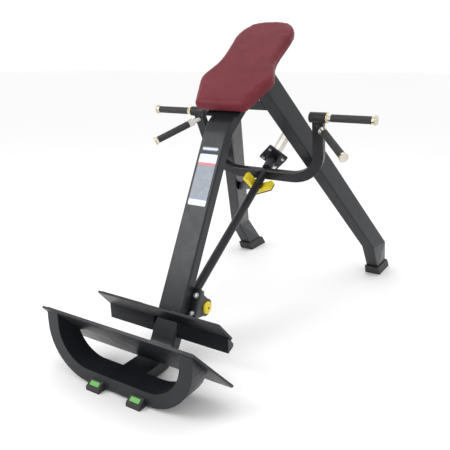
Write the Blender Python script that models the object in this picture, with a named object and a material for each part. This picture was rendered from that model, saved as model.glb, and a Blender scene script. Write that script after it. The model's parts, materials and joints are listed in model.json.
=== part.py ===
"""Plate-loaded incline lever row: a fixed frame and one swinging lever.

Metres, +Z up. X is across the machine, -Y is the end the user steps on from,
+Y is the end with the splayed rear legs. The origin is under the middle of the
whole machine, on the floor.
"""
import math

import bmesh
import bpy
from mathutils import Matrix, Vector
from mathutils.geometry import tessellate_polygon

for old in list(bpy.data.objects):
    bpy.data.objects.remove(old, do_unlink=True)

# ---------------------------------------------------------------- dimensions
Y_SHIFT = -0.2675            # moves the drawing frame to the middle of the machine
GAP = 0.0003                 # air between pieces that touch

POST_HALF_W = 0.055          # 110 x 50 mm main tube
POST_DEPTH = 0.050
POST_ANGLE = math.radians(63.1)
PAD_ANGLE = math.radians(36.7)
TUBE_CORNER = 0.006

RING_Y = (-0.609, -0.519)    # front base ring, a D standing on its round side
RING_HALF_W = 0.322
RING_BOTTOM = 0.010
RING_CORNER = 0.190
RING_WALL = 0.052

STEP_SLOPE = 1.095           # fall of the foot plates per metre towards +Y
PLATE_T = 0.008
TREAD_T = 0.004

LEG_WIDTH = 0.062
LEG_SKEW = (0.0225, 0.1462)  # front edge to rear edge of a leg at one height
LEG_AT = (0.3264, 0.7781)    # inner front edge at 0.3 m height
LEG_FALL = (-0.3765, -0.8054)

PIVOT = (-0.179, 0.187)      # y, z of the hinge axis
LEVER_ANGLE = math.radians(33.9)
LEVER_R = 0.019
HUB_R = 0.030
SHAFT_R = 0.0125

HEAD_Y, HEAD_Z = 0.352, 0.893
BAR_Y, BAR_Z = 0.470, 0.606
BAR_WIDE = 0.050
BAR_THICK = 0.030
BAR_BEND = 0.150
HORN_R = 0.02475
HEAD_R = 0.0225

COLORS = {
    "frame": (0.020, 0.021, 0.023, 0.25, 0.0),
    "lever": (0.022, 0.023, 0.025, 0.25, 0.0),
    "rubber": (0.014, 0.014, 0.015, 0.75, 0.0),
    "leather": (0.20, 0.030, 0.038, 0.45, 0.0),
    "board": (0.03, 0.03, 0.03, 0.7, 0.0),
    "chrome": (0.80, 0.80, 0.81, 0.12, 1.0),
    "steel": (0.60, 0.60, 0.61, 0.30, 1.0),
    "yellow": (0.85, 0.66, 0.03, 0.45, 0.0),
    "cast": (0.035, 0.035, 0.038, 0.50, 0.0),
    "label": (0.55, 0.60, 0.66, 0.40, 0.0),
}


# ---------------------------------------------------------------- helpers
def material(name, kind):
    r, g, b, rough, metal = COLORS[kind]
    mat = bpy.data.materials.new(name)
    mat.use_nodes = True
    shader = mat.node_tree.nodes["Principled BSDF"]
    shader.inputs["Base Color"].default_value = (r, g, b, 1.0)
    shader.inputs["Roughness"].default_value = rough
    shader.inputs["Metallic"].default_value = metal
    return mat


def finish_object(name, bm, kind, lever=False, smooth=False):
    """Turns a mesh in the drawing frame into a named object in the final frame."""
    bmesh.ops.remove_doubles(bm, verts=bm.verts, dist=1e-6)
    bmesh.ops.recalc_face_normals(bm, faces=bm.faces)
    origin = Vector((0.0, PIVOT[0] + Y_SHIFT, PIVOT[1])) if lever else Vector((0, 0, 0))
    for v in bm.verts:
        v.co = Vector((v.co.x, v.co.y + Y_SHIFT, v.co.z)) - origin
    for f in bm.faces:
        f.smooth = smooth and len(f.verts) == 4
    mesh = bpy.data.meshes.new(name)
    bm.to_mesh(mesh)
    bm.free()
    obj = bpy.data.objects.new(name, mesh)
    obj.location = origin
    bpy.context.scene.collection.objects.link(obj)
    mesh.materials.append(material(name, kind))
    return obj


def loft(sections, closed_ends=True):
    """A closed skin through rings of points that all have the same count."""
    bm = bmesh.new()
    rings = []
    for sec in sections:
        rings.append([bm.verts.new(p) for p in sec])
    n = len(rings[0])
    for a, b in zip(rings, rings[1:]):
        for i in range(n):
            j = (i + 1) % n
            bm.faces.new((a[i], a[j], b[j], b[i]))
    if closed_ends:
        bm.faces.new(rings[0])
        bm.faces.new(list(reversed(rings[-1])))
    return bm


def prism(outline, base, u, v, w, thick):
    """Outline (a, b) in the plane u, v at base, made thick along w."""
    base, u, v, w = Vector(base), Vector(u), Vector(v), Vector(w)
    lo = [base + u * a + v * b for a, b in outline]
    hi = [p + w * thick for p in lo]
    return loft([lo, hi])


def prism_with_hole(outline, centre, radius, base, u, v, w, thick, n=28):
    """As prism, with a round hole right through along w."""
    base, u, v, w = Vector(base), Vector(u), Vector(v), Vector(w)
    hole = []
    for i in range(n):
        t = 2 * math.pi * i / n
        hole.append((centre[0] + radius * math.cos(t), centre[1] + radius * math.sin(t)))
    flat = [Vector((a, b, 0)) for a, b in outline] + [Vector((a, b, 0)) for a, b in hole]
    tris = tessellate_polygon([flat[:len(outline)], flat[len(outline):]])
    bm = bmesh.new()
    lo = [bm.verts.new(base + u * p.x + v * p.y) for p in flat]
    hi = [bm.verts.new(base + u * p.x + v * p.y + w * thick) for p in flat]
    for a, b, c in tris:
        bm.faces.new((lo[a], lo[b], lo[c]))
        bm.faces.new((hi[c], hi[b], hi[a]))
    for start, count in ((0, len(outline)), (len(outline), n)):
        for i in range(count):
            j = (i + 1) % count
            bm.faces.new((lo[start + i], lo[start + j], hi[start + j], hi[start + i]))
    return bm


def bolt_head(washer_r, head_r, height, start, axis):
    """A bolt head on its washer."""
    return lathe([(0, 0), (0, washer_r), (0.002, washer_r), (0.0022, head_r), (height - 0.0015, head_r),
                  (height, head_r - 0.002), (height, 0)], start, axis, 12)


def lathe(profile, start, axis, segs=24):
    """Profile of (distance along axis, radius), closed where the radius is 0."""
    start, axis = Vector(start), Vector(axis).normalized()
    side = axis.orthogonal().normalized()
    other = axis.cross(side)
    bm = bmesh.new()
    rings = []
    for s, r in profile:
        if r == 0:
            rings.append([bm.verts.new(start + axis * s)])
            continue
        ring = []
        for i in range(segs):
            t = 2 * math.pi * i / segs
            ring.append(bm.verts.new(start + axis * s + (side * math.cos(t) + other * math.sin(t)) * r))
        rings.append(ring)
    for a, b in zip(rings, rings[1:]):
        for i in range(segs):
            j = (i + 1) % segs
            if len(a) == 1:
                bm.faces.new((a[0], b[i], b[j]))
            elif len(b) == 1:
                bm.faces.new((a[i], b[0], a[j]))
            else:
                bm.faces.new((a[i], b[i], b[j], a[j]))
    return bm


def rounded(half_a, half_b, r, n=3):
    """Rounded rectangle about the origin as (a, b) points."""
    pts = []
    for sa, sb, t0 in ((1, 1, 0), (-1, 1, 90), (-1, -1, 180), (1, -1, 270)):
        for i in range(n + 1):
            t = math.radians(t0 + 90.0 * i / n)
            pts.append((sa * (half_a - r) + r * math.cos(t), sb * (half_b - r) + r * math.sin(t)))
    return pts


def fillet(points, radii, n=8):
    """2-D polyline with its inner corners rounded to the given radii."""
    out = [Vector(points[0])]
    for i in range(1, len(points) - 1):
        p = Vector(points[i])
        a = (Vector(points[i - 1]) - p).normalized()
        b = (Vector(points[i + 1]) - p).normalized()
        turn = a.angle(b)
        r = radii[i - 1]
        d = r / math.tan(turn / 2)
        mid = (a + b).normalized()
        c = p + mid * (r / math.sin(turn / 2))
        s, e = p + a * d - c, p + b * d - c
        sweep = s.angle_signed(e)
        for k in range(n + 1):
            spoke = s.copy()
            spoke.rotate(Matrix.Rotation(-sweep * k / n, 2))
            out.append(c + spoke)
    out.append(Vector(points[-1]))
    return out


def bent_tube(path, origin, u, v, side, half_in, half_side, r):
    """Rectangular tube along a 2-D path in the plane u, v; side is the plane's normal."""
    origin, u, v, side = Vector(origin), Vector(u), Vector(v), Vector(side)
    shape = rounded(half_in, half_side, r)
    sections = []
    for i, p in enumerate(path):
        before = (p - path[i - 1]).normalized() if i > 0 else None
        after = (path[i + 1] - p).normalized() if i < len(path) - 1 else None
        if before is None:
            before = after
        if after is None:
            after = before
        t = (before + after).normalized()
        grow = 1.0 / max(0.5, t.dot(before))
        across = Vector((-t.y, t.x)) * grow
        sections.append([
            origin + u * (p.x + across.x * a) + v * (p.y + across.y * a) + side * b for a, b in shape
        ])
    return loft(sections)


def cut(bm, point, normal):
    """Removes what lies on the side normal points to and closes the cut."""
    geom = list(bm.verts) + list(bm.edges) + list(bm.faces)
    res = bmesh.ops.bisect_plane(
        bm, geom=geom, plane_co=point, plane_no=normal, clear_outer=True, dist=1e-7)
    edges = [g for g in res["geom_cut"] if isinstance(g, bmesh.types.BMEdge)]
    bmesh.ops.holes_fill(bm, edges=edges, sides=0)
    return bm


def subtract(obj, name, bm):
    """Cuts a closed mesh out of obj with a Boolean modifier."""
    cutter = finish_object(name, bm, "frame")
    cutter.hide_render = True
    cutter.display_type = "WIRE"
    mod = obj.modifiers.new(name, "BOOLEAN")
    mod.operation = "DIFFERENCE"
    mod.solver = "EXACT"
    mod.object = cutter


X, Y, Z = Vector((1, 0, 0)), Vector((0, 1, 0)), Vector((0, 0, 1))
SIDES = (("left", -1), ("right", 1))


def yz(y, z, x=0.0):
    return Vector((x, y, z))


# ---------------------------------------------------------------- main post
# One bent tube: base run, 63 degree post, and a run under the pad at 36.7 degrees.
POST_DIR = Vector((math.cos(POST_ANGLE), math.sin(POST_ANGLE)))
PAD_DIR = Vector((math.cos(PAD_ANGLE), math.sin(PAD_ANGLE)))
POST_BACK = Vector((POST_DIR.y, -POST_DIR.x))     # from the front face towards the rear
PAD_DOWN = Vector((PAD_DIR.y, -PAD_DIR.x))        # from the pad towards the floor
FACE_AT = Vector((-0.102, 0.600))                 # a point on the post's front face
UNDER_PAD = Vector((0.0741, 0.9085))              # a point on the pad plate's upper face
PAD_PLATE_T = 0.006


def line_cross(p, d, q, e):
    den = d.x * e.y - d.y * e.x
    t = ((q.x - p.x) * e.y - (q.y - p.y) * e.x) / den
    return p + d * t


half = POST_DEPTH / 2
post_centre = FACE_AT + POST_BACK * half
run_centre = UNDER_PAD + PAD_DOWN * (PAD_PLATE_T + 2 * GAP + half)
knee_low = line_cross(post_centre, POST_DIR, Vector((0, 0.0115 + half)), Vector((1, 0)))
knee_high = line_cross(post_centre, POST_DIR, run_centre, PAD_DIR)
run_end = knee_high + PAD_DIR * 0.330
base_end = Vector((RING_Y[1] + GAP, 0.0115 + half))
post_path = fillet([base_end, knee_low, knee_high, run_end], [0.10, 0.11])
finish_object("main_post", bent_tube(
    post_path, (0, 0, 0), Y, Z, X, half, POST_HALF_W, TUBE_CORNER), "frame")


# ---------------------------------------------------------------- front base ring
def d_outline(half_w, bottom, corner, top, n=12):
    pts = [(half_w, top)]
    for k in range(n + 1):
        t = -math.pi / 2 * k / n
        pts.append((half_w - corner + corner * math.cos(t), bottom + corner + corner * math.sin(t)))
    return pts + [(-a, b) for a, b in reversed(pts)]


ring_top = 0.30
outer = d_outline(RING_HALF_W, RING_BOTTOM, RING_CORNER, ring_top)
inner = d_outline(RING_HALF_W - RING_WALL, RING_BOTTOM + RING_WALL, RING_CORNER - RING_WALL, ring_top)
ring = bmesh.new()
rows = []
for (oa, ob), (ia, ib) in zip(outer, inner):
    rows.append([ring.verts.new((oa, RING_Y[0], ob)), ring.verts.new((oa, RING_Y[1], ob)),
                 ring.verts.new((ia, RING_Y[1], ib)), ring.verts.new((ia, RING_Y[0], ib))])
for a, b in zip(rows, rows[1:]):
    for k in range(4):
        m = (k + 1) % 4
        ring.faces.new((a[k], a[m], b[m], b[k]))
ring.faces.new(rows[0])
ring.faces.new(list(reversed(rows[-1])))
PLATE_UNDER = Vector((RING_Y[0], 0.2453))          # underside of the lower foot plate
slope = Vector((1, -STEP_SLOPE)).normalized()
PLATE_UP = Vector((-slope.y, slope.x))
cut(ring, yz(*(PLATE_UNDER - PLATE_UP * GAP)), yz(PLATE_UP.x, PLATE_UP.y))
finish_object("front_base_ring", ring, "frame")

# ---------------------------------------------------------------- foot plates
FLOOR_U, FLOOR_V, FLOOR_W = X, yz(slope.x, slope.y), yz(PLATE_UP.x, PLATE_UP.y)


def wing(half_heel, half_toe, s0, s1, r=0.012):
    """Foot plate outline, heel edge first, as (x, distance down the slope)."""
    return [(-half_heel, s0), (half_heel, s0), (half_toe, s1 - r), (half_toe - r, s1),
            (-half_toe + r, s1), (-half_toe, s1 - r)]


heel_low = PLATE_UNDER - slope * ((RING_Y[0] + 0.6215) / slope.x)
finish_object("lower_foot_plate", prism(
    wing(0.334, 0.375, 0.0, 0.256), yz(*heel_low), FLOOR_U, FLOOR_V, FLOOR_W, PLATE_T), "frame")
finish_object("lower_foot_tread", prism(
    wing(0.322, 0.358, 0.010, 0.246), yz(*(heel_low + PLATE_UP * (PLATE_T + GAP))),
    FLOOR_U, FLOOR_V, FLOOR_W, TREAD_T), "rubber")

heel_high = Vector((-0.3885, 0.253)) - PLATE_UP * PLATE_T
NOTCH = POST_HALF_W + 0.003
face_dist = line_cross(heel_high, slope, FACE_AT, POST_DIR) - heel_high
notch_s = face_dist.length - 0.014
UPPER_LEN = 0.137
upper = [(0.282, 0.0), (0.288, 0.108), (0.270, UPPER_LEN), (NOTCH, UPPER_LEN), (NOTCH, notch_s)]
upper = upper + [(-a, b) for a, b in reversed(upper)]
finish_object("upper_foot_plate", prism(
    upper, yz(*heel_high), FLOOR_U, FLOOR_V, FLOOR_W, PLATE_T), "frame")
for side, sg in SIDES:
    tread = [(0.066, 0.010), (0.272, 0.010), (0.277, 0.106), (0.264, UPPER_LEN - 0.008),
             (0.066, UPPER_LEN - 0.008)]
    finish_object("upper_foot_tread_" + side, prism(
        [(sg * a, b) for a, b in tread], yz(*(heel_high + PLATE_UP * (PLATE_T + GAP))),
        FLOOR_U, FLOOR_V, FLOOR_W, TREAD_T), "rubber")
    section = [(-0.332, 0.1790), (-0.330, 0.1145), (-0.296, 0.1270), (-0.296, 0.1395)]
    finish_object("step_bracket_" + side, prism(
        section, yz(0, 0, sg * (POST_HALF_W + GAP)), Y, Z, X * sg, 0.280 - POST_HALF_W), "frame")

# ---------------------------------------------------------------- front feet
for side, sg in SIDES:
    shape = [(-0.637, 0.0), (-0.560, 0.0), (-0.560, RING_BOTTOM - GAP), (RING_Y[0] - GAP, RING_BOTTOM - GAP),
             (RING_Y[0] - GAP, 0.034), (-0.634, 0.017), (-0.637, 0.013)]
    finish_object("front_foot_" + side, prism(
        shape, yz(0, 0, sg * 0.063), Y, Z, X * sg, 0.059), "rubber")

# ---------------------------------------------------------------- rear legs
KNEE_Z = 0.190
SHOE_Z = 0.050
leg_shape = [(0.5 + a, 0.5 + b) for a, b in rounded(0.5, 0.5, 0.085, 2)]
CUT_AT = UNDER_PAD + PAD_DOWN * (PAD_PLATE_T + 2 * GAP)


def leg_point(a, b, z):
    """Point of a leg's skin: a across its width, b from front to rear, at height z."""
    high = max(z, KNEE_Z) - 0.3
    x = LEG_AT[0] + LEG_FALL[0] * high + LEG_WIDTH * a
    skew = LEG_SKEW[0] * (1.0 if z >= KNEE_Z else (z - SHOE_Z) / (KNEE_Z - SHOE_Z))
    return x + skew * b, LEG_AT[1] + LEG_FALL[1] * (z - 0.3) + LEG_SKEW[1] * b, z


def leg_top(a, b):
    """Height at which that line of the leg meets the pad plate's underside."""
    lo, hi = 0.8, 1.3
    for _ in range(40):
        mid = (lo + hi) / 2
        y = leg_point(a, b, mid)[1]
        roof = CUT_AT.y + (y - CUT_AT.x) * PAD_DIR.y / PAD_DIR.x
        if mid < roof:
            lo = mid
        else:
            hi = mid
    return lo


for side, sg in SIDES:
    rings = []
    for z in (SHOE_Z + GAP, KNEE_Z):
        rings.append([leg_point(a, b, z) for a, b in leg_shape])
    rings.append([leg_point(a, b, leg_top(a, b)) for a, b in leg_shape])
    rings = [[(sg * p[0], p[1], p[2]) for p in r] for r in rings]
    finish_object("rear_leg_" + side, loft(rings), "frame")
    x0, x1 = 0.3590, 0.4395
    low = [(x0, 1.003), (x1, 1.003), (x1, 1.172), (x0, 1.172)]
    mid = [(x0, 0.990), (x1, 0.990), (x1, 1.160), (x0, 1.160)]
    top = [(x0 + 0.003, 0.970), (x1 - 0.003, 0.970), (x1 - 0.003, 1.136), (x0 + 0.003, 1.136)]
    finish_object("rear_shoe_" + side, loft([
        [(sg * a, b, 0.0) for a, b in low], [(sg * a, b, 0.018) for a, b in mid],
        [(sg * a, b, SHOE_Z) for a, b in top]]), "rubber")

# Cross member between the legs, below the run of the post.
bridge = []
for z in (0.918, 0.960):
    inner_x = leg_point(0, 0, z)[0] - 0.001
    front = leg_point(0, 0, z)[1] + 0.004
    rear = front + 0.05
    bridge.append([(-inner_x, front, z), (inner_x, front, z), (inner_x, rear, z), (-inner_x, rear, z)])
finish_object("leg_bridge", loft(bridge), "frame")

# ---------------------------------------------------------------- pad
PU, PV, PW = X, yz(PAD_DIR.x, PAD_DIR.y), yz(-PAD_DOWN.x, -PAD_DOWN.y)
PAD_ORIGIN = UNDER_PAD + PAD_DOWN * (PAD_PLATE_T + GAP)
finish_object("pad_plate", prism(
    [(-0.075, 0.0), (0.075, 0.0), (0.095, 0.14), (0.100, 0.30), (0.070, 0.37), (-0.070, 0.37),
     (-0.100, 0.30), (-0.095, 0.14)], yz(*PAD_ORIGIN), PU, PV, PW, PAD_PLATE_T), "frame")

# Half width of the pad against distance up the slope, from its lower edge.
PAD_PROFILE = [
    (0.000, 0.114), (0.006, 0.121), (0.060, 0.141), (0.110, 0.158), (0.150, 0.171), (0.170, 0.174),
    (0.190, 0.171), (0.230, 0.155), (0.265, 0.141), (0.300, 0.1345), (0.350, 0.134), (0.400, 0.138),
    (0.450, 0.141), (0.485, 0.138), (0.515, 0.129), (0.540, 0.113), (0.557, 0.090), (0.566, 0.060),
    (0.570, 0.030)]
PAD_LEN = PAD_PROFILE[-1][0]
TOP_T = 0.058
PAD_LOW = Vector((0.0995, 1.0)) + PAD_DIR * (-0.075) + PAD_DOWN * TOP_T
BOARD_T = 0.010


def pad_outline(inset):
    right = []
    for s, w in PAD_PROFILE:
        t = inset + s * (PAD_LEN - 2 * inset) / PAD_LEN
        right.append((w - inset, t))
    return right + [(-a, b) for a, b in reversed(right)]


board_at = PAD_LOW - PAD_DOWN * 0.0006
finish_object("pad_board", prism(
    pad_outline(0.030), yz(*board_at), PU, PV, PW, BOARD_T), "board")
skin = []
for height, inset in ((BOARD_T + 0.0009, 0.005), (0.018, 0.0), (0.048, 0.0), (0.0540, 0.003), (0.0572, 0.009),
                      (TOP_T, 0.020)):
    base = PAD_LOW - PAD_DOWN * height
    skin.append([yz(*base) + PU * a + PV * b for a, b in pad_outline(inset)])
finish_object("chest_pad", loft(skin), "leather")

# ---------------------------------------------------------------- placards
PLACARDS = (("small_placard", 0.7765, 0.7905, 0.036),
            ("large_placard", 0.5755, 0.7640, 0.0415))
for name, z0, z1, half_w in PLACARDS:
    n = 0.0008
    start = FACE_AT + POST_DIR * ((z0 - FACE_AT.y) / POST_DIR.y) - POST_BACK * GAP
    length = (z1 - z0) / POST_DIR.y
    outline = [(a, b + length / 2) for a, b in rounded(half_w, length / 2, 0.006, 3)]
    finish_object(name, prism(
        outline, yz(*start), X, yz(POST_DIR.x, POST_DIR.y), yz(-POST_BACK.x, -POST_BACK.y), n), "label")

# ---------------------------------------------------------------- pivot
PIV = Vector(PIVOT)
foot_of_pivot = (PIV - FACE_AT).dot(POST_DIR)
back_face = FACE_AT + POST_DIR * foot_of_pivot + POST_BACK * (POST_DEPTH + GAP)
AU, AV = yz(POST_DIR.x, POST_DIR.y), yz(POST_BACK.x, POST_BACK.y)
WING_X = 0.088
WING_T = 0.008
wing_plate = rounded(0.066, WING_X, 0.010, 2)
finish_object("pivot_plate", prism(
    wing_plate, yz(*back_face), AU, X, AV, WING_T), "frame")
house_at = back_face + POST_BACK * (WING_T + GAP)
rise = (PIV - house_at).dot(POST_BACK)
HOUSE_X = (0.0545, 0.0865)
house = [(-0.060, 0.0), (0.060, 0.0), (0.060, 0.014), (0.046, 0.018)]
for k in range(9):
    t = math.radians(-12 + 204.0 * k / 8)
    house.append((0.036 * math.cos(t), rise + 0.036 * math.sin(t)))
house += [(-0.046, 0.018), (-0.060, 0.014)]
for side, sg in SIDES:
    finish_object("bearing_housing_" + side, prism_with_hole(
        house, (0.0, rise), SHAFT_R + GAP, yz(house_at.x, house_at.y, sg * HOUSE_X[0]), AU, AV, X * sg,
        HOUSE_X[1] - HOUSE_X[0]), "cast")
    finish_object("bearing_cap_" + side, lathe(
        [(0, 0), (0, 0.0250), (0.006, 0.0250), (0.0095, 0.0215), (0.0105, 0.012), (0.0105, 0)],
        (sg * (HOUSE_X[1] + GAP), PIVOT[0], PIVOT[1]), X * sg), "yellow", smooth=True)
    for k, along in enumerate((-0.036, 0.036)):
        spot = FACE_AT + POST_DIR * (foot_of_pivot + along) + POST_BACK * POST_DEPTH
        finish_object("housing_bolt_%s_%d" % (side, k + 1), bolt_head(
            0.0120, 0.0105, 0.0105, yz(spot.x, spot.y, sg * 0.0700), -AV), "steel")

# ---------------------------------------------------------------- lever
E = Vector((math.cos(LEVER_ANGLE), math.sin(LEVER_ANGLE)))
H = Vector((-E.y, E.x))
E3, H3 = yz(E.x, E.y), yz(H.x, H.y)
pivot3 = yz(*PIV)
finish_object("pivot_shaft", lathe(
    [(0, 0), (0, SHAFT_R), (0.172, SHAFT_R), (0.172, 0)], pivot3 - X * 0.086, X, 20), "steel", True, True)
hub = lathe([(0, SHAFT_R + GAP), (0, HUB_R), (0.106, HUB_R), (0.106, SHAFT_R + GAP), (0, SHAFT_R + GAP)],
            pivot3 - X * 0.053, X, 28)
finish_object("lever_hub", hub, "lever", True, True)

# The bar's plane leans back: up its arms is BAR_UP, out of its rear face is BAR_BACK.
bar_vec = Vector((HEAD_Y - BAR_Y, HEAD_Z - BAR_Z))
BAR_UP = bar_vec.normalized()
BAR_BACK = Vector((BAR_UP.y, -BAR_UP.x))
bar_at = Vector((BAR_Y, BAR_Z))
bar_front = bar_at - BAR_BACK * (BAR_THICK / 2 + GAP)


def along_lever(h, point, normal):
    """Distance from the pivot at which a line of the lever meets a plane."""
    base = PIV + H * h
    return (point - base).dot(normal) / E.dot(normal)


def lever_round(r, start_fn, end_fn, segs=24):
    """Round piece along the lever with shaped ends."""
    bm = bmesh.new()
    low, high = [], []
    for i in range(segs):
        t = 2 * math.pi * i / segs
        x, h = r * math.cos(t), r * math.sin(t)
        low.append(bm.verts.new(pivot3 + X * x + H3 * h + E3 * start_fn(h)))
        high.append(bm.verts.new(pivot3 + X * x + H3 * h + E3 * end_fn(h)))
    tip0 = bm.verts.new(pivot3 + E3 * start_fn(0.0))
    tip1 = bm.verts.new(pivot3 + E3 * end_fn(0.0))
    for i in range(segs):
        j = (i + 1) % segs
        bm.faces.new((low[i], low[j], high[j], high[i]))
        bm.faces.new((tip0, low[j], low[i]))
        bm.faces.new((tip1, high[i], high[j]))
    return bm


lever_tube = finish_object("lever_tube", lever_round(
    LEVER_R, lambda h: 0.0, lambda h: along_lever(h, bar_front, BAR_BACK)), "lever", True, True)
subtract(lever_tube, "lever_tube_cope", lathe(
    [(0, 0), (0, HUB_R + GAP), (0.2, HUB_R + GAP), (0.2, 0)], pivot3 - X * 0.1, X, 28))

arm_len = bar_vec.length + 0.004
bar_path = [(-0.302, arm_len), (-0.272, 0.0), (0.272, 0.0), (0.302, arm_len)]
bar_path = fillet(bar_path, [BAR_BEND, BAR_BEND], 12)
handlebar = bent_tube(
    bar_path, yz(*bar_at), X, yz(*BAR_UP), yz(*BAR_BACK), BAR_WIDE / 2, BAR_THICK / 2, 0.005)
handlebar = finish_object("handlebar", handlebar, "lever", True)
saddle = [(-HEAD_R - GAP, 0.06)]
for k in range(17):
    t = math.pi * k / 16
    saddle.append((-(HEAD_R + GAP) * math.cos(t), -(HEAD_R + GAP) * math.sin(t)))
saddle.append((HEAD_R + GAP, 0.06))
subtract(handlebar, "handlebar_cope", prism(
    saddle, yz(HEAD_Y, HEAD_Z, -0.45), yz(*BAR_BACK), yz(*BAR_UP), X, 0.9))

FLANGE_S = 0.868
back_of_bar = bar_at + BAR_BACK * (BAR_THICK / 2 + GAP)
finish_object("horn_stub", lever_round(
    0.0235, lambda h: along_lever(h, back_of_bar, BAR_BACK), lambda h: FLANGE_S - GAP), "lever", True, True)
diamond = []
for a, b in rounded(0.0545, 0.0545, 0.008, 2):
    c = math.sqrt(0.5)
    diamond.append(((a - b) * c, (a + b) * c))
finish_object("horn_flange", prism(
    diamond, pivot3 + E3 * FLANGE_S, X, H3, E3, 0.012), "lever", True)
for k, (bx, bh) in enumerate(((0.053, 0), (0, 0.053), (-0.053, 0), (0, -0.053))):
    finish_object("flange_bolt_%d" % (k + 1), bolt_head(
        0.0090, 0.0078, 0.0085, pivot3 + E3 * (FLANGE_S - GAP) + X * bx + H3 * bh, -E3), "steel", True)
HORN_LEN = 0.270
finish_object("weight_horn", lathe(
    [(0, 0), (0, 0.0300), (0.006, 0.0300), (0.0065, HORN_R), (HORN_LEN - 0.004, HORN_R),
     (HORN_LEN, HORN_R - 0.004), (HORN_LEN, 0)],
    pivot3 + E3 * (FLANGE_S + 0.012 + GAP), E3, 48), "chrome", True, True)

# ---------------------------------------------------------------- handles
CAP_LEN = 0.019


def grip(name, start, axis, length):
    """Rubber sleeve with softened ends."""
    finish_object(name, lathe(
        [(0, 0), (0, 0.0145), (0.002, 0.0160), (length - 0.002, 0.0160), (length, 0.0145), (length, 0)],
        start, axis), "rubber", True, True)


def end_cap(name, start, axis):
    """Chrome cap that flares towards its outer face."""
    finish_object(name, lathe(
        [(0, 0), (0, 0.0165), (0.010, 0.0180), (0.016, 0.0200), (CAP_LEN, 0.0185), (CAP_LEN, 0)],
        start, axis), "chrome", True, True)


HEAD_LEN = 0.075
HEAD_X = 0.264
CROSS_COLLAR_LEN = 0.020
CROSS_GRIP_LEN = 0.170
LOWER_COLLAR_LEN = 0.050
LOWER_GRIP_LEN = 0.165
for side, sg in SIDES:
    head = yz(HEAD_Y, HEAD_Z)
    out = X * sg
    finish_object("handle_head_" + side, lathe(
        [(0, 0), (0, HEAD_R - 0.002), (0.002, HEAD_R), (HEAD_LEN - 0.002, HEAD_R), (HEAD_LEN, HEAD_R - 0.002),
         (HEAD_LEN, 0)], head + out * HEAD_X, out), "lever", True, True)
    collar_x = HEAD_X + HEAD_LEN + GAP
    finish_object("cross_collar_" + side, lathe(
        [(0, 0), (0, 0.0215), (0.004, 0.0215), (0.0045, 0.0175), (CROSS_COLLAR_LEN, 0.0165),
         (CROSS_COLLAR_LEN, 0)], head + out * collar_x, out), "chrome", True, True)
    grip_x = collar_x + CROSS_COLLAR_LEN + GAP
    grip("cross_grip_" + side, head + out * grip_x, out, CROSS_GRIP_LEN)
    end_cap("cross_end_cap_" + side, head + out * (grip_x + CROSS_GRIP_LEN + GAP), out)

    # The lower grip points outwards, down and towards the user from the bar's front face.
    d = Vector((0.7006 * sg, -0.5605, -0.4416)).normalized()
    root = Vector((0.305 * sg, 0.354, 0.857))
    stub = lathe([(-0.03, 0), (-0.03, 0.0120), (0.0290, 0.0120), (0.0295, 0.0185), (0.034, 0.0185),
                  (0.0345, 0.0170), (LOWER_COLLAR_LEN, 0.0165), (LOWER_COLLAR_LEN, 0)], root, d)
    cut(stub, yz(*bar_front), yz(*BAR_BACK))
    finish_object("lower_collar_" + side, stub, "chrome", True, True)
    grip_at = LOWER_COLLAR_LEN + GAP
    grip("lower_grip_" + side, root + d * grip_at, d, LOWER_GRIP_LEN)
    end_cap("lower_end_cap_" + side, root + d * (grip_at + LOWER_GRIP_LEN + GAP), d)

# ---------------------------------------------------------------- lever cradle
# A V of two yellow blocks under the lever, turned a little, on an arm from the left leg.
CRADLE_S = 0.672
CRADLE_L = 0.040
TILT = math.radians(-20)
lift = (LEVER_R + GAP) / math.sin(math.radians(45))
bis = Vector((math.sin(-TILT), math.cos(TILT)))
apex = -bis * lift
start = pivot3 + E3 * CRADLE_S + X * apex.x + H3 * apex.y
left_dir = Vector((math.cos(math.radians(135) + TILT), math.sin(math.radians(135) + TILT)))
right_dir = Vector((math.cos(math.radians(45) + TILT), math.sin(math.radians(45) + TILT)))
BLOCK_T = 0.022
corner = apex - bis * (BLOCK_T * math.sqrt(2))
for side, d, other in (("left", left_dir, right_dir), ("right", right_dir, left_dir)):
    inner = d * 0.0004
    tip = apex + d * 0.080
    block = [apex + inner, tip, tip - other * BLOCK_T, corner + inner]
    finish_object("cradle_pad_" + side, prism(
        [(p.x, p.y) for p in block], pivot3 + E3 * CRADLE_S, X, H3, E3, CRADLE_L), "yellow")
STEEL_T = 0.006
ARM_V = 0.100
c0 = corner - bis * (GAP * math.sqrt(2))
c1 = c0 - bis * (STEEL_T * math.sqrt(2))
v_plate = [c0, c0 + right_dir * ARM_V, c0 + right_dir * ARM_V - left_dir * STEEL_T, c1,
           c0 + left_dir * ARM_V - right_dir * STEEL_T, c0 + left_dir * ARM_V]
finish_object("cradle_bracket", prism(
    [(p.x, p.y) for p in v_plate], pivot3 + E3 * CRADLE_S, X, H3, E3, CRADLE_L), "frame")
# The arm runs from the bracket's left plate to the inner face of the left leg.
tip = pivot3 + E3 * (CRADLE_S + 0.023) + X * (c0.x + left_dir.x * 0.042) + H3 * (c0.y + left_dir.y * 0.042)
normal = X * (-right_dir.x) + H3 * (-right_dir.y)
leg_z = 0.478
root = Vector(leg_point(0, 0.30, leg_z))
root.x = -root.x
tip_low = tip + normal * (STEEL_T + GAP)
reach = (root - tip_low)
run = reach.normalized()
flat = Z.cross(run).normalized()
up = run.cross(flat)
arm = loft([[tip_low + run * t + flat * a + up * b for a, b in rounded(0.008, 0.021, 0.004, 2)]
            for t in (-0.06, reach.length + 0.08)])
cut(arm, tip_low, -normal)
e1 = Vector(leg_point(0, 0, leg_z))
e4 = Vector(leg_point(0, 1, leg_z))
e1b = Vector(leg_point(0, 0, leg_z + 0.1))
inward = (e4 - e1).cross(e1b - e1).normalized()
if inward.x > 0:
    inward = -inward
inward.x = -inward.x
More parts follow.
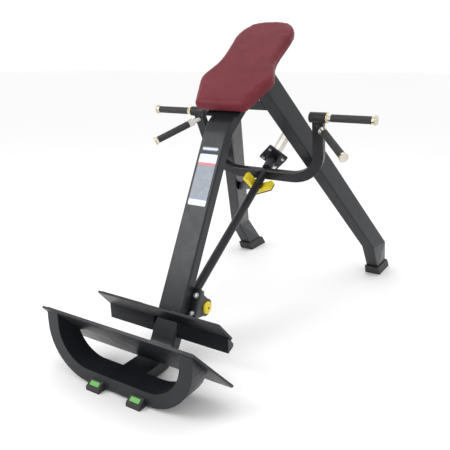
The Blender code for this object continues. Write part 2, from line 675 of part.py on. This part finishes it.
e1.x = -e1.x
cut(arm, e1 + inward * GAP, -inward)
finish_object("cradle_arm", arm, "frame")
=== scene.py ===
"""Looks of the plate-loaded incline row: finishes, sewn pad, labels, light and camera."""
import json
import math

import bmesh
import bpy
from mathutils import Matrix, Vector


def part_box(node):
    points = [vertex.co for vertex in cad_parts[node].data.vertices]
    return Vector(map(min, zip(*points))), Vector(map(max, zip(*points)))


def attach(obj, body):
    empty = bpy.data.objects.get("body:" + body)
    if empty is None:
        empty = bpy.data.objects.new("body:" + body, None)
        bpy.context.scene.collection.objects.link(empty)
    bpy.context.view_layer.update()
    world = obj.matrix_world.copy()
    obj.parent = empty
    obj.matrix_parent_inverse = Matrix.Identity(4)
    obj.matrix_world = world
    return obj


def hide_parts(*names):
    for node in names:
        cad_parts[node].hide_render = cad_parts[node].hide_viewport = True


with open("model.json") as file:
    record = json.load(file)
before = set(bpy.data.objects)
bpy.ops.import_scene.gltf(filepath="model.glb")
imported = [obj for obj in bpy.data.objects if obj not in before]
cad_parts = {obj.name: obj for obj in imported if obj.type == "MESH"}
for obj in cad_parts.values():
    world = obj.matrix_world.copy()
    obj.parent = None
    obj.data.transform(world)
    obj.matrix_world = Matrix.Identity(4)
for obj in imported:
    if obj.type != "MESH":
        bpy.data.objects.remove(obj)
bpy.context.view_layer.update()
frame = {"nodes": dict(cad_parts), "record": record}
NODES = frame["nodes"]
X = Vector((1, 0, 0))

# ---------------------------------------------------------------- node helpers


class Graph:
    """Short calls for building one node material."""

    def __init__(self, name, color, rough, metal=0.0):
        self.mat = bpy.data.materials.new(name)
        self.mat.use_nodes = True
        self.tree = self.mat.node_tree
        self.shader = self.tree.nodes["Principled BSDF"]
        self.set("Base Color", (*color, 1.0))
        self.set("Roughness", rough)
        self.set("Metallic", metal)
        self.coords = self.add("ShaderNodeTexCoord").outputs["Object"]

    def add(self, kind, **values):
        node = self.tree.nodes.new(kind)
        for key, value in values.items():
            setattr(node, key, value)
        return node

    def set(self, socket, value):
        self.shader.inputs[socket].default_value = value

    def link(self, a, b):
        self.tree.links.new(a, b)

    def noise(self, scale, detail=4.0, rough=0.55):
        node = self.add("ShaderNodeTexNoise")
        node.inputs["Scale"].default_value = scale
        node.inputs["Detail"].default_value = detail
        node.inputs["Roughness"].default_value = rough
        self.link(self.coords, node.inputs["Vector"])
        return node.outputs["Fac"]

    def voronoi(self, scale):
        node = self.add("ShaderNodeTexVoronoi")
        node.inputs["Scale"].default_value = scale
        self.link(self.coords, node.inputs["Vector"])
        return node.outputs["Distance"]

    def ramp(self, fac, stops, interpolation="LINEAR"):
        node = self.add("ShaderNodeValToRGB")
        ramp = node.color_ramp
        ramp.interpolation = interpolation
        while len(ramp.elements) < len(stops):
            ramp.elements.new(0.5)
        for element, (pos, col) in zip(ramp.elements, stops):
            element.position = pos
            element.color = (*col, 1.0)
        self.link(fac, node.inputs["Fac"])
        return node.outputs["Color"]

    def span(self, fac, low, high, out_low, out_high):
        node = self.add("ShaderNodeMapRange", clamp=True)
        limits = {"From Min": low, "From Max": high, "To Min": out_low, "To Max": out_high}
        for key, value in limits.items():
            node.inputs[key].default_value = value
        self.link(fac, node.inputs["Value"])
        return node.outputs["Result"]

    def math(self, operation, a, b):
        node = self.add("ShaderNodeMath", operation=operation)
        for slot, value in enumerate((a, b)):
            if isinstance(value, (int, float)):
                node.inputs[slot].default_value = value
            else:
                self.link(value, node.inputs[slot])
        return node.outputs["Value"]

    def bump(self, height, strength, distance):
        node = self.add("ShaderNodeBump")
        node.inputs["Strength"].default_value = strength
        node.inputs["Distance"].default_value = distance
        self.link(height, node.inputs["Height"])
        self.link(node.outputs["Normal"], self.shader.inputs["Normal"])

    def to(self, output, socket):
        self.link(output, self.shader.inputs[socket])

    def mottle(self, scale, detail, low, dark, high, light):
        """Cloudy colour between two tones, on noise from low to high."""
        self.to(self.ramp(self.noise(scale, detail), [(low, dark), (high, light)]), "Base Color")

    def gloss(self, scale, detail, smooth, rough):
        """Patches of roughness between two values."""
        self.to(self.span(self.noise(scale, detail), 0.3, 0.7, smooth, rough), "Roughness")


# ---------------------------------------------------------------- finishes
NYLON_YELLOW = (0.84, 0.66, 0.020)
CAP_SHADE_R = 0.025        # radius at which the bearing cap's painted socket shade and painted shade ring end


def powder_coat(name, color, rough, coat):
    """Black stoved paint: fine orange peel and a faint change of gloss."""
    g = Graph(name, color, rough)
    g.set("Specular IOR Level", 0.24)
    g.set("Coat Weight", coat)
    g.set("Coat Roughness", 0.12)
    lighter = tuple(c * 1.35 + 0.002 for c in color)
    g.mottle(7.0, 3.0, 0.30, color, 0.75, lighter)
    g.gloss(22.0, 4.0, rough - 0.05, rough + 0.07)
    g.bump(g.noise(900.0, 2.0), 0.10, 0.0004)
    return g.mat


def moulded_rubber():
    """Black rubber of the feet and shoes, with a slightly dusty tone."""
    color, rough = (0.016, 0.0155, 0.015), 0.66
    g = Graph("moulded_rubber", color, rough)
    dusty = tuple(c * 1.7 + 0.004 for c in color)
    g.mottle(40.0, 5.0, 0.35, color, 0.8, dusty)
    g.gloss(120.0, 3.0, rough - 0.08, rough + 0.06)
    g.bump(g.noise(700.0, 3.0), 0.25, 0.0006)
    return g.mat


def tread_rubber():
    """Foot plate mat: a scatter of low round studs."""
    g = Graph("studded_tread", (0.030, 0.030, 0.032), 0.62)
    studs = g.span(g.voronoi(165.0), 0.25, 0.45, 1.0, 0.0)
    g.mottle(15.0, 5.0, 0.3, (0.026, 0.026, 0.028), 0.8, (0.058, 0.058, 0.060))
    g.gloss(60.0, 3.0, 0.52, 0.72)
    g.bump(studs, 0.45, 0.0009)
    return g.mat


def grip_rubber():
    """Handle rubber with a fine pebbled texture."""
    g = Graph("ribbed_grip", (0.018, 0.018, 0.019), 0.62)
    g.mottle(70.0, 4.0, 0.3, (0.014, 0.014, 0.015), 0.8, (0.036, 0.035, 0.035))
    g.gloss(200.0, 3.0, 0.52, 0.72)
    g.bump(g.voronoi(520.0), 0.35, 0.0008)
    return g.mat


def vinyl(color):
    """Upholstery vinyl: pebbled grain, soft clouds of tone and a satin sheen."""
    g = Graph("burgundy_vinyl", color, 0.42)
    g.set("Specular IOR Level", 0.16)
    dark = tuple(c * 0.82 for c in color)
    light = tuple(c * 1.12 + 0.004 for c in color)
    g.mottle(9.0, 4.0, 0.25, dark, 0.78, light)
    g.gloss(60.0, 4.0, 0.36, 0.50)
    pebbles = g.math("MULTIPLY", g.voronoi(620.0), 0.8)
    creases = g.math("MULTIPLY", g.noise(260.0, 4.0), 0.5)
    g.bump(g.math("ADD", pebbles, creases), 0.30, 0.0007)
    return g.mat


def chrome():
    g = Graph("chrome_plate", (0.60, 0.58, 0.54), 0.12, 1.0)
    g.to(g.span(g.noise(60.0, 5.0), 0.35, 0.75, 0.06, 0.17), "Roughness")
    g.mottle(12.0, 3.0, 0.3, (0.50, 0.48, 0.44), 0.8, (0.74, 0.72, 0.69))
    g.bump(g.noise(350.0, 2.0), 0.02, 0.0002)
    return g.mat


def gold():
    g = Graph("gold_anodised", (0.80, 0.56, 0.16), 0.22, 1.0)
    g.mottle(25.0, 3.0, 0.3, (0.70, 0.46, 0.10), 0.8, (0.90, 0.66, 0.24))
    g.gloss(90.0, 3.0, 0.17, 0.30)
    return g.mat


def zinc():
    g = Graph("zinc_plate", (0.60, 0.61, 0.63), 0.30, 1.0)
    g.mottle(160.0, 5.0, 0.3, (0.46, 0.47, 0.50), 0.8, (0.74, 0.75, 0.77))
    g.gloss(220.0, 3.0, 0.22, 0.42)
    g.bump(g.noise(500.0, 3.0), 0.12, 0.0003)
    return g.mat


def cast_iron():
    g = Graph("painted_casting", (0.022, 0.022, 0.024), 0.42)
    g.mottle(60.0, 5.0, 0.3, (0.018, 0.018, 0.019), 0.8, (0.045, 0.045, 0.048))
    g.gloss(90.0, 4.0, 0.34, 0.55)
    g.bump(g.noise(330.0, 6.0, 0.7), 0.35, 0.0010)
    return g.mat


def moulded(name, color):
    """Coloured nylon with a fine moulded texture."""
    g = Graph(name, color, 0.42)
    dark = tuple(c * 0.86 for c in color)
    g.mottle(18.0, 4.0, 0.3, dark, 0.75, color)
    g.gloss(90.0, 3.0, 0.36, 0.50)
    g.bump(g.noise(600.0, 3.0), 0.15, 0.0004)
    return g.mat


def bearing_cap_nylon(name, y, z):
    """Yellow cap with painted shade for a socket in the middle and a painted shade ring round it, about (y,
    z).
    """
    g = Graph(name, NYLON_YELLOW, 0.42)
    split = g.add("ShaderNodeSeparateXYZ")
    g.link(g.coords, split.inputs[0])
    dy = g.math("SUBTRACT", split.outputs["Y"], y)
    dz = g.math("SUBTRACT", split.outputs["Z"], z)
    radius = g.math("SQRT", g.math("ADD", g.math("MULTIPLY", dy, dy), g.math("MULTIPLY", dz, dz)), 0.0)
    # The black middle is the socket's painted shade and the darker yellow band is a painted shade ring
    yellow, black, shade = NYLON_YELLOW, (0.03, 0.025, 0.01), (0.35, 0.27, 0.01)
    ring = g.span(radius, 0.0, CAP_SHADE_R, 0.0, 1.0)
    g.to(g.ramp(ring, [(0.0, black), (0.22, black), (0.25, yellow), (0.56, yellow),
                       (0.58, shade), (0.62, shade), (0.64, yellow), (1.0, yellow)]), "Base Color")
    g.gloss(90.0, 3.0, 0.36, 0.50)
    g.bump(g.noise(600.0, 3.0), 0.15, 0.0004)
    return g.mat


def board_cover():
    """Black cloth on the back of the pad's board."""
    g = Graph("board_cover", (0.022, 0.022, 0.023), 0.8)
    g.mottle(80.0, 5.0, 0.3, (0.018, 0.018, 0.019), 0.8, (0.04, 0.04, 0.042))
    g.bump(g.noise(500.0, 4.0), 0.3, 0.0006)
    return g.mat


VINYL = vinyl((0.138, 0.0155, 0.0240))
GOLD = gold()
GREEN = moulded("green_label", (0.13, 0.46, 0.085))
BY_SLOT = {
    "frame_black": powder_coat("frame_black", (0.0115, 0.0125, 0.0155), 0.36, 0.10),
    "lever_black": powder_coat("lever_black", (0.0115, 0.0120, 0.0145), 0.30, 0.15),
    "tread_rubber": tread_rubber(),
    "foot_rubber": moulded_rubber(),
    "grip_rubber": grip_rubber(),
    "chrome": chrome(),
    "bright_steel": zinc(),
    "yellow_plastic": moulded("yellow_nylon", NYLON_YELLOW),
    "bearing_cast": cast_iron(),
    "pad_backing": board_cover(),
}
slots = {entry["node"]: entry["material_slot"] for entry in frame["record"]["subparts"]}


def assign(obj, mat):
    obj.data.materials.clear()
    obj.data.materials.append(mat)


# Edge radius by the start of a node's name, in metres; tubes with modelled corners have none.
EDGES = {"main_post": 0.0, "handlebar": 0.0, "rear_leg": 0.0, "front_base_ring": 0.004, "front_foot": 0.004,
         "rear_shoe": 0.004, "cradle_pad": 0.0025, "bearing_housing": 0.0025}
PLAIN_EDGE = 0.0012


def soften(obj, width):
    mod = obj.modifiers.new("edges", "BEVEL")
    mod.width = width
    mod.segments = 3
    mod.limit_method = "ANGLE"
    mod.angle_limit = math.radians(35)
    mod.harden_normals = True


for name, obj in NODES.items():
    if slots[name] in BY_SLOT:
        assign(obj, BY_SLOT[slots[name]])
    edge = next((width for start, width in EDGES.items() if name.startswith(start)), PLAIN_EDGE)
    if edge:
        soften(obj, edge)


# ---------------------------------------------------------------- placards
def vertical_bands(name, low, high, bands):
    """Printed film: bands stacked up the label, between its lowest and highest edge."""
    g = Graph(name, (0.6, 0.65, 0.7), 0.28)
    g.set("Coat Weight", 0.4)
    split = g.add("ShaderNodeSeparateXYZ")
    g.link(g.coords, split.inputs[0])
    height = g.span(split.outputs["Z"], low, high, 0.0, 1.0)
    g.to(g.ramp(height, bands, "CONSTANT"), "Base Color")
    g.gloss(45.0, 3.0, 0.22, 0.34)
    return g.mat


WHITE, BLUE, GREY = (0.50, 0.53, 0.57), (0.05, 0.12, 0.30), (0.085, 0.115, 0.160)
RED, DARK = (0.42, 0.035, 0.045), (0.060, 0.085, 0.125)
# Each band starts at its share of the label's height.
BANDS = {
    "large_placard": [(0.0, WHITE), (0.115, BLUE), (0.13, GREY), (0.30, DARK), (0.315, GREY), (0.48, DARK),
                      (0.495, GREY), (0.66, DARK), (0.675, GREY), (0.78, RED), (0.83, WHITE)],
    "small_placard": [(0.0, BLUE), (0.30, WHITE), (0.72, DARK)],
}
for node, bands in BANDS.items():
    lo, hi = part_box(node)
    assign(NODES[node], vertical_bands(node + "_film", lo[2], hi[2], bands))


def box_middle(node):
    lo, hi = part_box(node)
    return Vector([(a + b) / 2 for a, b in zip(lo, hi)])


SIDES = (("left", -1), ("right", 1))
for side, _ in SIDES:
    middle = box_middle("bearing_cap_" + side)
    nylon = bearing_cap_nylon("bearing_cap_nylon_" + side, middle.y, middle.z)
    assign(NODES["bearing_cap_" + side], nylon)


# ---------------------------------------------------------------- gold rings and foot labels
def mesh_object(name, bm):
    """Puts a bmesh in the scene as an object."""
    bmesh.ops.recalc_face_normals(bm, faces=bm.faces)
    mesh = bpy.data.meshes.new(name)
    bm.to_mesh(mesh)
    bm.free()
    obj = bpy.data.objects.new(name, mesh)
    bpy.context.scene.collection.objects.link(obj)
    return obj


def walls(bm, a, b):
    """Faces between two loops of as many points."""
    n = len(a)
    for i in range(n):
        j = (i + 1) % n
        bm.faces.new((a[i], a[j], b[j], b[i]))


def turned(name, profile, start, axis, segs=48):
    """A closed ring turned about an axis from (distance, radius) points."""
    side = axis.orthogonal().normalized()
    other = axis.cross(side)
    turns = [2 * math.pi * i / segs for i in range(segs)]
    spokes = [side * math.cos(t) + other * math.sin(t) for t in turns]
    bm = bmesh.new()
    rings = [[bm.verts.new(start + axis * s + spoke * r) for spoke in spokes] for s, r in profile]
    for a, b in zip(rings, rings[1:] + rings[:1]):
        walls(bm, a, b)
    obj = mesh_object(name, bm)
    for p in obj.data.polygons:
        p.use_smooth = True
    return obj


RING_WIDE = 0.0040
RING_DEEP = 0.004
RING_ROUND = 0.0006


def gold_ring(name, place, axis, radius):
    """A thin ring with a softened rim, round a cap or a collar."""
    inner, shoulder = radius - RING_DEEP, radius - RING_ROUND
    profile = [(0.0, inner), (0.0, shoulder), (RING_ROUND, radius), (RING_WIDE - RING_ROUND, radius),
               (RING_WIDE, shoulder), (RING_WIDE, inner)]
    ring = turned(name, profile, place, axis)
    assign(ring, GOLD)
    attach(ring, "lever")


def x_ends(node):
    """The node's inner and outer ends, going out from the middle of the machine."""
    lo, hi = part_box(node)
    return sorted((lo[0], hi[0]), key=abs)


CROSS_RING_R = 0.0222
END_RING_R = 0.0206
END_RING_INSET = 0.0075      # from a cross cap's outer face
END_RING_OFFSET = 0.0015     # from the middle of a lower cap
for side, sg in SIDES:
    out = X * sg
    collar_ends, cap_ends = x_ends("cross_collar_" + side), x_ends("cross_end_cap_" + side)
    place = box_middle("cross_collar_" + side)
    place.x = collar_ends[0]
    gold_ring("cross_ring_" + side, place, out, CROSS_RING_R)
    place.x = cap_ends[1] - sg * END_RING_INSET
    gold_ring("cross_end_ring_" + side, place, out, END_RING_R)
for side, _ in SIDES:
    inner, outer = box_middle("lower_grip_" + side), box_middle("lower_end_cap_" + side)
    along = (outer - inner).normalized()
    gold_ring("lower_end_ring_" + side, outer + along * END_RING_OFFSET, along, END_RING_R)


LABEL_FRONT = (0.003, 0.017)     # depth from the foot's front and height, at the slope's low end
LABEL_BACK = (0.0272, 0.034)     # the same at its high end
LABEL_W, LABEL_H = 0.041, 0.017
LABEL_CORNER = 0.0035
LABEL_T = 0.0012
LABEL_EDGE = 0.0006


def foot_label(side):
    """Green plate lying on the sloping top of a front foot."""
    lo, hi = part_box("front_foot_" + side)
    x = (lo[0] + hi[0]) / 2
    front, back = (Vector((x, lo[1] + depth, height)) for depth, height in (LABEL_FRONT, LABEL_BACK))
    up_slope = (back - front).normalized()
    normal = Vector((0, -up_slope.z, up_slope.y))
    middle = (front + back) / 2 + normal * 0.0002
    half_w, half_h = LABEL_W / 2, LABEL_H / 2
    outline = []
    for sx, sy, start in ((1, 1, 0), (-1, 1, 90), (-1, -1, 180), (1, -1, 270)):
        for i in range(5):
            t = math.radians(start + 22.5 * i)
            outline.append((sx * (half_w - LABEL_CORNER) + LABEL_CORNER * math.cos(t),
                            sy * (half_h - LABEL_CORNER) + LABEL_CORNER * math.sin(t)))
    bm = bmesh.new()
    rings = []
    for height, inset in ((0.0, 0.0), (LABEL_T * 0.6, 0.0), (LABEL_T, LABEL_EDGE)):
        across, up = X * (1 - inset / half_w), up_slope * (1 - inset / half_h)
        rings.append([bm.verts.new(middle + across * a + up * b + normal * height) for a, b in outline])
    for a, b in zip(rings, rings[1:]):
        walls(bm, a, b)
    bm.faces.new(rings[0])
    bm.faces.new(list(reversed(rings[-1])))
    label = mesh_object("foot_label_" + side, bm)
    assign(label, GREEN)
    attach(label, "frame")


for side, _ in SIDES:
    foot_label(side)


# ---------------------------------------------------------------- chest pad
SHRINK = 0.992               # size of the cover before it is filled out
VOXEL = 0.005
PRESSURE = 4.0
CLOTH_STIFFNESS = 40.0
CLOTH_FRAMES = 20
SWELL_CAP = 0.005            # how far the simulation may move a point of the cover
WELT_R = 0.0013
WELT_STEP = 0.006


def sewn_pad():
    """The vinyl pad: the CAD solid, shrunk a little and filled out again by a short cloth simulation."""
    obj = bpy.data.objects.new("chest_pad_cover", NODES["chest_pad"].data.copy())
    bpy.context.scene.collection.objects.link(obj)
    points = [v.co for v in obj.data.vertices]
    centre = sum(points, Vector()) / len(points)
    for v in obj.data.vertices:
        v.co = centre + (v.co - centre) * SHRINK
    remesh = obj.modifiers.new("remesh", "REMESH")
    remesh.mode = "VOXEL"
    remesh.voxel_size = VOXEL
    bake(obj)
    swell(obj)
    relax = obj.modifiers.new("relax", "SMOOTH")
    relax.factor = 0.5
    relax.iterations = 3
    sub = obj.modifiers.new("sub", "SUBSURF")
    sub.levels = sub.render_levels = 1
    bake(obj)
    for p in obj.data.polygons:
        p.use_smooth = True
    assign(obj, VINYL)
    return obj


def swell(obj):
    """Cloth with pressure inside; each point then keeps at most SWELL_CAP of its travel."""
    rest = [v.co.copy() for v in obj.data.vertices]
    cloth = obj.modifiers.new("cloth", "CLOTH")
    cloth.settings.use_pressure = True
    cloth.settings.uniform_pressure_force = PRESSURE
    cloth.settings.effector_weights.gravity = 0.0
    cloth.settings.quality = 5
    cloth.settings.tension_stiffness = CLOTH_STIFFNESS
    cloth.settings.compression_stiffness = CLOTH_STIFFNESS
    scene = bpy.context.scene
    scene.frame_start, scene.frame_end = 1, CLOTH_FRAMES
    for number in range(1, CLOTH_FRAMES + 1):
        scene.frame_set(number)
    bake(obj)
    for v, old in zip(obj.data.vertices, rest):
        step = v.co - old
        if step.length > SWELL_CAP:
            v.co = old + step.normalized() * SWELL_CAP
    scene.frame_set(1)


def bake(obj):
    """Replaces an object's mesh with what its modifiers make of it."""
    deps = bpy.context.evaluated_depsgraph_get()
    deps.update()
    done = bpy.data.meshes.new_from_object(obj.evaluated_get(deps))
    obj.modifiers.clear()
    obj.data = done


pad = sewn_pad()
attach(pad, "frame")
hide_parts("chest_pad")


def welt(cover):
    """The sewn seam round the pad's top edge: a thin roll of vinyl half sunk in the cover."""
    solid = NODES["chest_pad"].data
    flats = sorted(solid.polygons, key=lambda p: len(p.vertices))[-2:]
    cap = max(flats, key=lambda p: p.center.z)
    up = cap.normal
    middle = cap.center
    rim = [solid.vertices[i].co for i in cap.vertices]
    dense = []
    for a, b in zip(rim, rim[1:] + rim[:1]):
        count = max(1, int((b - a).length / WELT_STEP))
        dense += [a.lerp(b, k / count) for k in range(count)]
    for _ in range(6):
        dense = [(dense[i - 1] + dense[i] + dense[(i + 1) % len(dense)]) / 3 for i in range(len(dense))]
    curve = bpy.data.curves.new("pad_welt", "CURVE")
    curve.dimensions = "3D"
    curve.bevel_depth = WELT_R
    curve.bevel_resolution = 2
    spline = curve.splines.new("POLY")
    spline.points.add(len(dense) - 1)
    for point, place in zip(spline.points, dense):
        out = (place - middle) - up * (place - middle).dot(up)
        probe = place + out.normalized() * 0.018 + up * 0.002
        _, spot, normal, _ = cover.closest_point_on_mesh(probe)
        point.co = (*(spot + normal * 0.0002), 1.0)
    spline.use_cyclic_u = True
    obj = bpy.data.objects.new("pad_welt", curve)
    bpy.context.scene.collection.objects.link(obj)
    curve.materials.append(VINYL)
    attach(obj, "frame")


welt(pad)


# ---------------------------------------------------------------- stage, light, camera
def studio():
    bpy.ops.mesh.primitive_plane_add(size=160)
    floor = bpy.context.object
    floor.name = "floor"
    g = Graph("studio_floor", (0.93, 0.93, 0.93), 0.9)
    g.mottle(1.5, 2.0, 0.0, (0.955, 0.955, 0.955), 1.0, (0.965, 0.965, 0.965))
    assign(floor, g.mat)
    world = bpy.data.worlds.new("studio")
    bpy.context.scene.world = world
    world.use_nodes = True
    sky = world.node_tree.nodes["Background"]
    sky.inputs[0].default_value = (1, 1, 1, 1)
    sky.inputs[1].default_value = 1.0
    for name, place, size, power in (
            ("key", (-1.75, -2.75, 2.25), 1.5, 42.0), ("fill", (3.2, -1.6, 2.4), 2.6, 12.0),
            ("top", (0.2, 0.6, 3.6), 3.0, 18.0)):
        data = bpy.data.lights.new(name, "AREA")
        data.size = size
        data.energy = power
        lamp = bpy.data.objects.new(name, data)
        lamp.location = place
        aim = Vector((0, 0, 0.5)) - Vector(place)
        lamp.rotation_euler = aim.to_track_quat("-Z", "Y").to_euler()
        bpy.context.scene.collection.objects.link(lamp)


def camera():
    data = bpy.data.cameras.new("camera")
    data.sensor_width = 36.0
    data.lens = 43.36
    cam = bpy.data.objects.new("camera", data)
    cam.location = (1.179, -2.0705, 1.102)
    cam.rotation_euler = (math.radians(90 - 16.42), 0.0, math.radians(31.79))
    bpy.context.scene.collection.objects.link(cam)
    bpy.context.scene.camera = cam


studio()
camera()
bpy.context.scene.view_settings.view_transform = "Standard"
